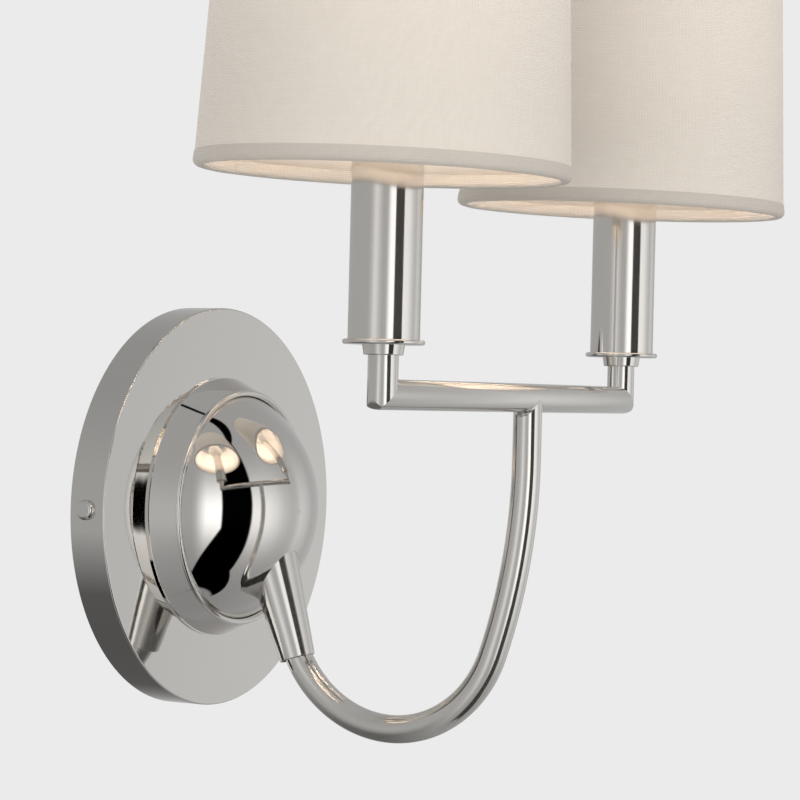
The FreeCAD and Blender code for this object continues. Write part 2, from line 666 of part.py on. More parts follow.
def shade_frame():
    """Upper and lower wire rings."""
    lower = Part.makeTorus(ring_r(SHADE_FOOT_R), RING_WIRE_R, FreeCAD.Vector(0, 0, ring_inset()), Z)
    upper = Part.makeTorus(ring_r(SHADE_TOP_R), RING_WIRE_R,
                           FreeCAD.Vector(0, 0, SHADE_HEIGHT - ring_inset()), Z)
    return Part.makeCompound([lower, upper])


def bulb_clip():
    """Two hoops and their ribs, which sit over the bulb, and the spokes up to the shade's upper ring."""
    lower_z = CLIP_LOWER - SHADE_FOOT
    upper_z = CLIP_UPPER - SHADE_FOOT
    lower_r = bulb_radius(CLIP_LOWER_HEIGHT) + CLIP_LOWER_GAP + CLIP_WIRE_R
    knee_r = bulb_radius((CLIP_LOWER_HEIGHT + CLIP_UPPER_HEIGHT) / 2) + CLIP_GAP + CLIP_WIRE_R
    upper_r = bulb_radius(CLIP_UPPER_HEIGHT) + CLIP_GAP + CLIP_WIRE_R
    ring_z = SHADE_HEIGHT - ring_inset()
    reach = ring_r(SHADE_TOP_R) - RING_WIRE_R
    wires = [Part.makeTorus(lower_r, CLIP_WIRE_R, FreeCAD.Vector(0, 0, lower_z), Z)]
    wires.append(Part.makeTorus(upper_r, CLIP_WIRE_R, FreeCAD.Vector(0, 0, upper_z), Z))
    for i in range(CLIP_RIBS):
        angle = math.radians(45 + 360 / CLIP_RIBS * i)
        way = FreeCAD.Vector(math.cos(angle), math.sin(angle), 0)
        foot = way * lower_r + Z * lower_z
        knee = way * knee_r + Z * ((lower_z + upper_z) / 2)
        head = way * upper_r + Z * upper_z
        wires.append(tube([(foot, 0), (knee, CLIP_KNEE_BEND_R), (head, 0)], CLIP_RIB_R))
    for i in range(SPOKES):
        angle = math.radians(90 + 360 / SPOKES * i)
        way = FreeCAD.Vector(math.cos(angle), math.sin(angle), 0)
        foot = way * upper_r + Z * upper_z
        head = way * reach + Z * ring_z
        wires.append(cylinder(CLIP_RIB_R, (head - foot).Length, foot, head - foot))
    body = wires[0]
    for wire in wires[1:]:
        body = body.fuse(wire)
    return body


def leaning(shape, side):
    """Sets a shade's piece over its bulb, leaning forward about the clip."""
    placed = at_light(shape, side, SHADE_FOOT)
    placed.rotate(FreeCAD.Vector(LIGHTS[side], -LIGHT_REACH, CLIP_UPPER), X, SHADE_LEAN)
    return placed


# ---------------------------------------------------------------- leads
def left_lead():
    """From the lamp holder through post, crossbar and arm to the cap behind the dome."""
    x = LIGHTS["left"]
    upward = FreeCAD.Vector(0, UPWARD[0], UPWARD[1])
    above_arm = FreeCAD.Vector(-LEAD_SIDE, ARM_END_Y, ARM_END_Z) + upward * LEAD_CANOPY_BEND_R
    mouth = CONNECTOR_BACK - CONNECTOR_LENGTH
    path = [
        (FreeCAD.Vector(x, -LIGHT_REACH, SOCKET_FOOT + SOCKET_FLOOR / 2), 0),
        (FreeCAD.Vector(x, -LIGHT_REACH, CROSSBAR_Z), LEAD_BEND_R),
        (FreeCAD.Vector(-BAR_CORNER, TEE_Y, CROSSBAR_Z), BAR_BEND_R * LEAD_BOW_SHARE),
        (FreeCAD.Vector(-LEAD_SIDE, TEE_Y, CROSSBAR_Z), LEAD_BEND_R),
    ] + arm_corners(-LEAD_SIDE)[:-1] + [
        (above_arm, LEAD_CANOPY_BEND_R / 2),
        (FreeCAD.Vector(-CONNECTOR_X, mouth - LEAD_CANOPY_BEND_R, CONNECTOR_Z), LEAD_CANOPY_BEND_R / 2),
        (FreeCAD.Vector(-CONNECTOR_X, mouth + CONNECTOR_SOCKET, CONNECTOR_Z), 0),
    ]
    return tube(path, LEAD_R)


def wire_connectors():
    """A twist-on cap for each lead, mouth towards the dome."""
    caps = []
    for side in (-1, 1):
        cap = turned([
            (0, 0),
            (CONNECTOR_TIP_R, 0, CONNECTOR_TIP_ROUND),
            (CONNECTOR_R, CONNECTOR_LENGTH, CONNECTOR_MOUTH_ROUND),
            (LEAD_R + BRAZE_GAP, CONNECTOR_LENGTH),
            (LEAD_R + BRAZE_GAP, CONNECTOR_LENGTH - CONNECTOR_SOCKET),
            (0, CONNECTOR_LENGTH - CONNECTOR_SOCKET),
        ])
        cap = off_wall(cap)
        cap.translate(FreeCAD.Vector(side * CONNECTOR_X, CONNECTOR_BACK, CONNECTOR_Z))
        caps.append(cap)
    return Part.makeCompound(caps)


# ---------------------------------------------------------------- all the pieces
os.makedirs("parts", exist_ok=True)

export("mounting_strap", mounting_strap())
export("rim_screws", rim_screws())
export("ground_screw", ground_screw())
export("backplate", backplate())
export("collar", collar())
export("dome", dome())
export("ferrule", ferrule())
export("arm_nut", arm_nut())
export("arm", arm())
export("crossbar", crossbar())
export("left_elbow", left_elbow())
export("right_elbow", mirrored(left_elbow()))
export("left_lead", left_lead())
export("right_lead", mirrored(left_lead()))
export("wire_connectors", wire_connectors())

for side in LIGHTS:
    export(side + "_coupling", at_light(coupling(), side, COUPLING_FOOT))
    export(side + "_nipple", at_light(nipple(), side, NIPPLE_FOOT))
    export(side + "_nuts", at_light(nuts(), side))
    export(side + "_flange", at_light(flange(), side, FLANGE_FOOT))
    export(side + "_socket_leg", at_light(socket_leg(), side, LEG_FOOT))
    export(side + "_socket", at_light(socket(), side, SOCKET_FOOT))
    export(side + "_screw_shell", at_light(screw_shell(), side, SOCKET_FOOT + SOCKET_FLOOR))
    export(side + "_sleeve", at_light(sleeve(), side, FLANGE_TOP))
    export(side + "_bulb_base", at_light(bulb_base(), side, BASE_FOOT))
    export(side + "_bulb", at_light(bulb(), side, BULB_NECK))
    export(side + "_shade", leaning(shade(), side))
    export(side + "_shade_frame", leaning(shade_frame(), side))
    export(side + "_bulb_clip", leaning(bulb_clip(), side))
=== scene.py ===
import math

import bmesh
import bpy
from mathutils import Matrix, Vector


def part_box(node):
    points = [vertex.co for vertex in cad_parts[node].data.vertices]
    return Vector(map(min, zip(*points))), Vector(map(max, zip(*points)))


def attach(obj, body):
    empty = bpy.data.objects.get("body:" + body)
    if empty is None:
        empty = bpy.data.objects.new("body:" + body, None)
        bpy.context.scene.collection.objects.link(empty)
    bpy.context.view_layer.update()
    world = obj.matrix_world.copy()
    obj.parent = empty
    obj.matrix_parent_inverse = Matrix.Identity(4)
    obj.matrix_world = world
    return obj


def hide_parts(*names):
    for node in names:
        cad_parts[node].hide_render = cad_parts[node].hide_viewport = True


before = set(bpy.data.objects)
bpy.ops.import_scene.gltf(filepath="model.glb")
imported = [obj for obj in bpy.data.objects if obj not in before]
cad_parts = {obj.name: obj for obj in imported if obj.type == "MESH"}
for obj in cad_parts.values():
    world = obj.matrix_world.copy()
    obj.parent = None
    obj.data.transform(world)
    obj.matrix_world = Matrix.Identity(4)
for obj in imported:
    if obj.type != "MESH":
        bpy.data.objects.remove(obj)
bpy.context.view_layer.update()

# Camera: the photograph's place, a little to the left of the light and level with its crossbar, looking
# across the wall. The lens is a short telephoto.
CAMERA_AT = (-0.822488, -0.569188, 0.040641)
LENS = 127.03
SENSOR = 36


def put(name, data):
    """A new object in the scene."""
    thing = bpy.data.objects.new(name, data)
    bpy.context.scene.collection.objects.link(thing)
    return thing


heading = math.radians(59.516)
pitch = math.radians(-0.106)
roll = math.radians(1.398)
look = Vector((math.sin(heading) * math.cos(pitch), math.cos(heading) * math.cos(pitch), math.sin(pitch)))
level_right = Vector((math.cos(heading), -math.sin(heading), 0))
level_up = level_right.cross(look)
camera_right = level_right * math.cos(roll) + level_up * math.sin(roll)
camera_up = level_up * math.cos(roll) - level_right * math.sin(roll)
camera = put("camera", bpy.data.cameras.new("camera"))
bpy.context.scene.camera = camera
camera.data.sensor_width = SENSOR
camera.data.sensor_fit = "HORIZONTAL"
camera.data.lens = LENS
turn = Matrix((camera_right, camera_up, -look)).transposed()
camera.matrix_world = Matrix.Translation(CAMERA_AT) @ turn.to_4x4()

# Polished nickel: warm, bright plating on brass, buffed round the tubes. It has faint buffing lines, a little
# haze and the small unevenness that a hand-held wheel leaves.
NICKEL = (0.745, 0.725, 0.695, 1)


def nodes_of(material):
    material.use_nodes = True
    tree = material.node_tree
    return tree, tree.nodes["Principled BSDF"]


def add(tree, kind, **inputs):
    node = tree.nodes.new(kind)
    for name, value in inputs.items():
        node.inputs[name.replace("_", " ")].default_value = value
    return node


def bump(tree, shader, height, distance, strength):
    """Raises the surface by a height output, in metres."""
    node = add(tree, "ShaderNodeBump", Distance=distance, Strength=strength)
    tree.links.new(height, node.inputs["Height"])
    tree.links.new(node.outputs["Normal"], shader.inputs["Normal"])
    return node


def ramp(tree, source, start, stop, low=0.0, high=1.0, kind="LINEAR"):
    """low where the source is below start, high where it is above stop, and a slope between them."""
    node = tree.nodes.new("ShaderNodeMapRange")
    node.interpolation_type = kind
    for name, value in (("From Min", start), ("From Max", stop), ("To Min", low), ("To Max", high)):
        node.inputs[name].default_value = value
    tree.links.new(source, node.inputs["Value"])
    return node.outputs["Result"]


def spread(tree, source, low, high):
    """A 0 to 1 output stretched between two values."""
    return ramp(tree, source, 0.0, 1.0, low, high)


def place(tree):
    return tree.nodes.new("ShaderNodeTexCoord").outputs["Object"]


def noise(tree, where, scale, detail=3.0, roughness=0.5):
    node = add(tree, "ShaderNodeTexNoise", Scale=scale, Detail=detail, Roughness=roughness)
    tree.links.new(where, node.inputs["Vector"])
    return node.outputs["Fac"]


def nickel(name, haze, unevenness, bare):
    """Plated and polished metal. haze is its roughness, unevenness the depth of its waves in metres, and bare
    the share of it that no polish residue dulls."""
    material = bpy.data.materials.new(name)
    tree, shader = nodes_of(material)
    shader.inputs["Metallic"].default_value = bare
    shader.inputs["Base Color"].default_value = NICKEL
    where = place(tree)
    smudge = noise(tree, where, 28.0, 4.0, 0.6)
    tree.links.new(spread(tree, smudge, haze * 0.7, haze * 1.5), shader.inputs["Roughness"])
    bump(tree, shader, noise(tree, where, 55.0, 2.0), unevenness, 0.25)
    return material


def dress(material, *nodes):
    """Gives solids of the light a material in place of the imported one."""
    for name in nodes:
        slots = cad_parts[name].data.materials
        slots.clear()
        slots.append(material)


tube_nickel = nickel("tube_nickel", haze=0.075, unevenness=0.00015, bare=0.94)
dress(tube_nickel, "ferrule", "arm", "crossbar", "left_elbow", "right_elbow", "left_coupling",
      "right_coupling", "left_flange", "right_flange", "left_sleeve", "right_sleeve")
spun_nickel = nickel("spun_nickel", haze=0.04, unevenness=0.00012, bare=1.0)
dress(spun_nickel, "backplate", "collar", "dome", "rim_screws")

# Solder: a small concave fillet where the arm's upright runs up against the underside of the crossbar. It is
# plated with the tubes, and dies away at the front and the back, where the two tubes are tangent.
TUBE_R = 0.00475
TEE_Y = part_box("crossbar")[0].y + TUBE_R
CROSSBAR_Z = 0.0406
FILLET = 0.0015
FILLET_STEPS = 24
FILLET_ARC = 6
FILLET_BITE = 0.0004


def fillet_half(work, outward):
    """One side of the fillet. outward is -1 for the left of the arm and 1 for its right."""
    sections = []
    for step in range(1, FILLET_STEPS):
        turn = -math.pi / 2 + math.pi * step / FILLET_STEPS
        side, front = TUBE_R * math.cos(turn), TUBE_R * math.sin(turn)
        leg = FILLET * math.cos(turn)
        seam = Vector((outward * side, TEE_Y + front, CROSSBAR_Z - side))
        on_arm = seam + Vector((0, 0, -leg))
        on_bar = seam + Vector((outward * leg, 0, 0))
        buried = seam + Vector((-outward * FILLET_BITE, 0, FILLET_BITE))
        ring = []
        for part in range(FILLET_ARC + 1):
            t = part / FILLET_ARC
            hollow = on_arm * (1 - t) ** 2 + seam * 2 * t * (1 - t) + on_bar * t ** 2
            ring.append(work.verts.new(hollow))
        ring.append(work.verts.new(buried))
        sections.append(ring)
    count = FILLET_ARC + 2
    for back, ahead in zip(sections, sections[1:]):
        for part in range(count):
            after = (part + 1) % count
            face = work.faces.new((back[part], back[after], ahead[after], ahead[part]))
            face.smooth = part < FILLET_ARC
    work.faces.new(sections[0])
    work.faces.new(list(reversed(sections[-1])))


fillet_mesh = bpy.data.meshes.new("tee_fillet")
work = bmesh.new()
fillet_half(work, -1)
fillet_half(work, 1)
bmesh.ops.recalc_face_normals(work, faces=work.faces)
work.to_mesh(fillet_mesh)
work.free()
fillet_mesh.materials.append(tube_nickel)
fillet = put("tee_fillet", fillet_mesh)
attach(fillet, "fixture")

# Hidden fixings: a zinc-plated strap bent from flat bar, nuts, threaded tubes and the legs of the lamp
# holders, all with the fine drawn lines of rolled steel, and a green-dyed ground screw.
DRAWN_LINES = (40, 900, 900)


def mottled(tree, factor, dark, light):
    """A colour between two, by an output from 0 to 1."""
    node = tree.nodes.new("ShaderNodeMix")
    node.data_type = "RGBA"
    node.inputs["A"].default_value = [*dark, 1]
    node.inputs["B"].default_value = [*light, 1]
    tree.links.new(factor, node.inputs["Factor"])
    return node.outputs["Result"]


def rolled_steel(name, colour, haze):
    material = bpy.data.materials.new(name)
    tree, shader = nodes_of(material)
    shader.inputs["Metallic"].default_value = 1.0
    where = place(tree)
    drawn = add(tree, "ShaderNodeMapping", Scale=DRAWN_LINES)
    tree.links.new(where, drawn.inputs["Vector"])
    lines = noise(tree, drawn.outputs["Vector"], 1.0, 3.0)
    tint = mottled(tree, noise(tree, where, 90.0), [c * 0.82 for c in colour], colour)
    tree.links.new(tint, shader.inputs["Base Color"])
    tree.links.new(spread(tree, lines, haze * 0.8, haze * 1.3), shader.inputs["Roughness"])
    bump(tree, shader, lines, 0.00004, 0.3)
    return material


zinc = rolled_steel("zinc_steel", (0.6, 0.61, 0.6), 0.34)
dress(zinc, "mounting_strap", "arm_nut", "left_nipple", "right_nipple", "left_nuts", "right_nuts",
      "left_socket_leg", "right_socket_leg")
dress(rolled_steel("green_screw", (0.08, 0.32, 0.14), 0.3), "ground_screw")

# Lamp holders: moulded pale plastic with brass screw shells. The leads to them are pale and end in orange
# twist-on caps behind the dome.


def moulded(name, colour, gloss):
    material = bpy.data.materials.new(name)
    tree, shader = nodes_of(material)
    where = place(tree)
    tint = mottled(tree, noise(tree, where, 120.0), [c * 0.9 for c in colour], colour)
    tree.links.new(tint, shader.inputs["Base Color"])
    tree.links.new(spread(tree, noise(tree, where, 400.0), gloss, gloss + 0.15), shader.inputs["Roughness"])
    bump(tree, shader, noise(tree, where, 1500.0), 0.00002, 0.3)
    return material


dress(moulded("holder_plastic", (0.78, 0.76, 0.71), 0.45), "left_socket", "right_socket")
dress(moulded("lead_insulation", (0.77, 0.75, 0.68), 0.4), "left_lead", "right_lead")
dress(moulded("connector_plastic", (0.75, 0.24, 0.03), 0.35), "wire_connectors")
brass = rolled_steel("brass", (0.72, 0.55, 0.27), 0.25)
dress(brass, "left_screw_shell", "right_screw_shell", "left_bulb_base", "right_bulb_base")

# Bulbs: frosted torpedo glass, lit. The glow is warm and strongest a little below the middle of the glass. The
# lamp inside each bulb, which lights its shade, shines through the glass.
GLOW_COLOUR = (1.0, 0.86, 0.71, 1)
GLOW = 0.5
GLOW_UP_THE_GLASS = ((0.0, 0.35), (1.0, 0.5))
GLOW_PEAK = 0.42
FROSTED = (0.5, 0.47, 0.43, 1)
FROST_DEPTH = 0.00002


def sums_in(tree):
    """A function that adds one step of arithmetic to a tree of nodes."""
    def reckon(operation, *values):
        node = tree.nodes.new("ShaderNodeMath")
        node.operation = operation
        for socket, value in zip(node.inputs, values):
            if isinstance(value, (int, float)):
                socket.default_value = value
            else:
                tree.links.new(value, socket)
        return node.outputs["Value"]
    return reckon


def either(tree, test, unless, when):
    """The first of two shaders, or the second where test is 1."""
    node = tree.nodes.new("ShaderNodeMixShader")
    for socket, output in zip(node.inputs, (test, unless, when)):
        tree.links.new(output, socket)
    return node.outputs["Shader"]


lit = bpy.data.materials.new("bulb_glass")
tree, shader = nodes_of(lit)
shader.inputs["Base Color"].default_value = FROSTED
shader.inputs["Roughness"].default_value = 0.35
shader.inputs["Emission Color"].default_value = GLOW_COLOUR
height = tree.nodes.new("ShaderNodeSeparateXYZ")
tree.links.new(place(tree), height.inputs["Vector"])
glow = tree.nodes.new("ShaderNodeValToRGB")
glass_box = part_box("left_bulb")
tree.links.new(ramp(tree, height.outputs["Z"], glass_box[0].z, glass_box[1].z), glow.inputs["Fac"])
for element, (position, bright) in zip(glow.color_ramp.elements, GLOW_UP_THE_GLASS):
    element.position = position
    element.color = (bright, bright, bright, 1)
glow.color_ramp.elements.new(GLOW_PEAK).color = (1, 1, 1, 1)
tree.links.new(sums_in(tree)("MULTIPLY", glow.outputs["Color"], GLOW), shader.inputs["Emission Strength"])
bump(tree, shader, noise(tree, place(tree), 900.0), FROST_DEPTH, 0.2)
rays = tree.nodes.new("ShaderNodeLightPath")
clear = tree.nodes.new("ShaderNodeBsdfTransparent").outputs["BSDF"]
lets_through = either(tree, rays.outputs["Is Shadow Ray"], shader.outputs["BSDF"], clear)
tree.links.new(lets_through, tree.nodes["Material Output"].inputs["Surface"])
dress(lit, "left_bulb", "right_bulb")

# Wire of the shades: two rings, and a clip with its spokes, powder-coated white. The wires are spot-welded
# where they meet, and each weld is a small flattened bead.
powder = moulded("wire_white", (0.78, 0.77, 0.74), 0.4)
dress(powder, "left_shade_frame", "right_shade_frame", "left_bulb_clip", "right_bulb_clip")
LIGHT_X = {"left": -0.0825, "right": 0.0825}
LIGHT_Y = -0.1273
LEAN = math.radians(1.5)
LEAN_PIVOT_Z = 0.1793
RIBS = 4
SPOKES = 2
WELD_R = 0.0011
WELD_FINENESS = 3
WELD_FLATNESS = (1, 1, 0.8)
# height, radius, first angle and number of each ring of welds: lower hoop, upper hoop, the spokes' two ends
WELD_RINGS = [(0.1573, 0.0197, 45, RIBS), (0.1793, 0.0155, 45, RIBS), (0.1793, 0.0155, 90, SPOKES),
              (0.21945, 0.0489, 90, SPOKES)]


def weld_tree():
    """Flattened beads, evenly round a circle."""
    tree = bpy.data.node_groups.new("spot_welds", "GeometryNodeTree")
    tree.interface.new_socket(name="Geometry", in_out="OUTPUT", socket_type="NodeSocketGeometry")
    tree.interface.new_socket(name="Count", in_out="INPUT", socket_type="NodeSocketInt")
    tree.interface.new_socket(name="Ring radius", in_out="INPUT", socket_type="NodeSocketFloat")
    tree.interface.new_socket(name="Bead radius", in_out="INPUT", socket_type="NodeSocketFloat")
    given = tree.nodes.new("NodeGroupInput")
    reckon = sums_in(tree)
    number = tree.nodes.new("GeometryNodeInputIndex").outputs["Index"]
    turn = reckon("MULTIPLY", reckon("DIVIDE", number, given.outputs["Count"]), 2 * math.pi)
    spot = tree.nodes.new("ShaderNodeCombineXYZ")
    for axis, wave in (("X", "COSINE"), ("Y", "SINE")):
        off_centre = reckon("MULTIPLY", reckon(wave, turn), given.outputs["Ring radius"])
        tree.links.new(off_centre, spot.inputs[axis])
    spots = tree.nodes.new("GeometryNodePoints")
    tree.links.new(given.outputs["Count"], spots.inputs["Count"])
    tree.links.new(spot.outputs["Vector"], spots.inputs["Position"])
    bead = tree.nodes.new("GeometryNodeMeshIcoSphere")
    bead.inputs["Subdivisions"].default_value = WELD_FINENESS
    tree.links.new(given.outputs["Bead radius"], bead.inputs["Radius"])
    placed = tree.nodes.new("GeometryNodeInstanceOnPoints")
    tree.links.new(spots.outputs["Points"], placed.inputs["Points"])
    tree.links.new(bead.outputs["Mesh"], placed.inputs["Instance"])
    placed.inputs["Scale"].default_value = WELD_FLATNESS
    real = tree.nodes.new("GeometryNodeRealizeInstances")
    tree.links.new(placed.outputs["Instances"], real.inputs["Geometry"])
    coat = tree.nodes.new("GeometryNodeSetMaterial")
    coat.inputs["Material"].default_value = powder
    tree.links.new(real.outputs["Geometry"], coat.inputs["Geometry"])
    result = tree.nodes.new("NodeGroupOutput")
    tree.links.new(coat.outputs["Geometry"], result.inputs["Geometry"])
    return tree


def from_nodes(name, tree, **inputs):
    """The plain mesh that a tree of nodes makes from its named inputs."""
    blank = put(name, bpy.data.meshes.new(name + "_blank"))
    maker = blank.modifiers.new("maker", "NODES")
    maker.node_group = tree
    for socket in tree.interface.items_tree:
        if socket.in_out == "INPUT":
            maker[socket.identifier] = inputs[socket.name.replace(" ", "_").lower()]
    seen = blank.evaluated_get(bpy.context.evaluated_depsgraph_get())
    mesh = bpy.data.meshes.new_from_object(seen)
    bpy.data.objects.remove(blank)
    return mesh


def leaned(mesh, side):
    """Leans a mesh of a shade forward, about its clip's upper hoop."""
    pivot = Vector((LIGHT_X[side], LIGHT_Y, LEAN_PIVOT_Z))
    mesh.transform(Matrix.Translation(pivot) @ Matrix.Rotation(LEAN, 4, "X") @ Matrix.Translation(-pivot))


welds = weld_tree()
for side in ("left", "right"):
    work = bmesh.new()
    for height, radius, first, count in WELD_RINGS:
        ring = from_nodes("beads", welds, count=count, ring_radius=radius, bead_radius=WELD_R)
        ring.transform(Matrix.Rotation(math.radians(first), 4, "Z"))
        ring.transform(Matrix.Translation((LIGHT_X[side], LIGHT_Y, height)))
        work.from_mesh(ring)
    mesh = bpy.data.meshes.new(side + "_welds")
    for face in work.faces:
        face.smooth = True
    work.to_mesh(mesh)
    work.free()
    leaned(mesh, side)
    mesh.materials.append(powder)
    beads = put(side + "_welds", mesh)
    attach(beads, side + "_shade_set")

# Shades: plain-weave linen glued to a stiff white backing, rolled into a cone and lapped at the wall side.
# Its edges are folded round the rings, so the hems are two cloths thick. Each cone leans a little.
FOOT_R = 0.0580
TOP_R = 0.0521
TALL = 0.114
FOOT_Z = 0.1076
HEM_TALL = 0.0044
HEM_STEP = 0.00025
FOLD_DEEP = 0.0041
EDGE_ROUND = 0.0017
CLOTH = 0.00045
BACKING = 0.00035
AROUND = 360
LAP_STEPS = 9
LAP_RISE = 0.0004
CORNER_STEPS = 8
FACE_ROWS = 24
FOLD_KNEE = 0.6  # where the inside of a fold begins to round, as a share of the hem's height
STEP_HALF = 0.0002  # half the height over which a hem's step runs out
HEM_CLOTH = 0.0109  # how much of the cloth each hem takes up
WARP = 0.00052
WEFT = 0.0006
THREAD_WANDER = 0.0009
GAP_IN_WEAVE = (0.575, 0.53, 0.475)
THREAD_COLOUR = (0.765, 0.712, 0.655)
SLUB_FINENESS = (1800, 60)
SLUB_SPREAD = (0.45, 1.45)
WEAVE_SPREAD = (0.1, 0.75)
WEAVE_DEPTH = 0.00012
HEM_PAINTED_SHADE = 0.77
# The cloth's painted glow: emission on the linen stands for the bulb's light coming through it.
CLOTH_GLOW_COLOUR = (1.0, 0.78, 0.6, 1)
CLOTH_GLOW = 0.055
GLOW_FROM = 0.02  # where along the cloth the bulb begins to shine through it, and where it does so fully
GLOW_FULL = 0.075
LINING_END = 0.0022
LINING_ROWS = (0.03, 0.057, 0.085)
LINING_SEAT = 0.0001


def corner(centre_r, centre_z, start):
    """A quarter turn of the cloth, round a folded edge, from a start angle on."""
    points = []
    for step in range(CORNER_STEPS + 1):
        turn = start + math.pi / 2 * step / CORNER_STEPS
        points.append((centre_r + EDGE_ROUND * math.cos(turn), centre_z + EDGE_ROUND * math.sin(turn)))
    return points


def cloth_line():
    """The cloth's section from the inside of the lower fold, over the face, to the inside of the upper."""
    half = CLOTH / 2
    slope = (TOP_R - FOOT_R) / TALL
    foot_in, foot_out = FOOT_R - FOLD_DEEP + half, FOOT_R - half
    top_in, top_out = TOP_R - FOLD_DEEP + half, TOP_R - half
    foot_turn, top_turn = half + EDGE_ROUND, TALL - half - EDGE_ROUND
    line = [(foot_in, HEM_TALL), (foot_in, HEM_TALL * FOLD_KNEE)]
    line += corner(foot_in + EDGE_ROUND, foot_turn, math.pi)
    line += corner(foot_out - EDGE_ROUND, foot_turn, -math.pi / 2)
    line.append((foot_out + slope * HEM_TALL, HEM_TALL - STEP_HALF))
    line.append((foot_out + slope * HEM_TALL - HEM_STEP, HEM_TALL + STEP_HALF))
    for row in range(1, FACE_ROWS):
        z = HEM_TALL + (TALL - 2 * HEM_TALL) * row / FACE_ROWS
        line.append((foot_out + slope * z - HEM_STEP, z))
    line.append((top_out - slope * HEM_TALL - HEM_STEP, TALL - HEM_TALL - STEP_HALF))
    line.append((top_out - slope * HEM_TALL, TALL - HEM_TALL + STEP_HALF))
    line += corner(top_out - EDGE_ROUND, top_turn, 0.0)
    line += corner(top_in + EDGE_ROUND, top_turn, math.pi / 2)
    return line + [(top_in, TALL - HEM_TALL * FOLD_KNEE), (top_in, TALL - HEM_TALL)]


def rolled(name, line, material, thick, side, lap=0.0):
    """Turns a section round a light's axis. Its UV map is in metres, round the cone and along the cloth. lap
    is how far the cloth's end stands out, where it is glued over its beginning."""
    mesh = bpy.data.meshes.new(name)
    work = bmesh.new()
    rings = []
    for radius, z in line:
        ring = []
        for step in range(AROUND):
            angle = math.pi / 2 + 2 * math.pi * step / AROUND
            out = radius + (lap if step < LAP_STEPS else 0)
            ring.append(work.verts.new((out * math.cos(angle), out * math.sin(angle), z)))
        rings.append(ring)
    along = [0.0]
    for (r0, z0), (r1, z1) in zip(line, line[1:]):
        along.append(along[-1] + math.hypot(r1 - r0, z1 - z0))
    uv = work.loops.layers.uv.new("cloth")
    girth = math.pi * (FOOT_R + TOP_R)
    for row in range(len(line) - 1):
        for step in range(AROUND):
            after = (step + 1) % AROUND
            low, high = rings[row], rings[row + 1]
            face = work.faces.new((low[step], low[after], high[after], high[step]))
            face.smooth = True
            corners = ((step, row), (step + 1, row), (step + 1, row + 1), (step, row + 1))
            for loop, (u, v) in zip(face.loops, corners):
                loop[uv].uv = (girth * u / AROUND, along[v])
    work.to_mesh(mesh)
    work.free()
    mesh.transform(Matrix.Translation((LIGHT_X[side], LIGHT_Y, FOOT_Z)))
    leaned(mesh, side)
    mesh.materials.append(material)
    piece = put(name, mesh)
    skin = piece.modifiers.new("thickness", "SOLIDIFY")
    skin.thickness = thick
    skin.offset = 0
    return piece


def cloth_length(line):
    return sum(math.hypot(r1 - r0, z1 - z0) for (r0, z0), (r1, z1) in zip(line, line[1:]))


def cloth_area(line):
    """What a section turned round its axis covers."""
    return sum(math.pi * (one[0] + two[0]) * cloth_length((one, two)) for one, two in zip(line, line[1:]))


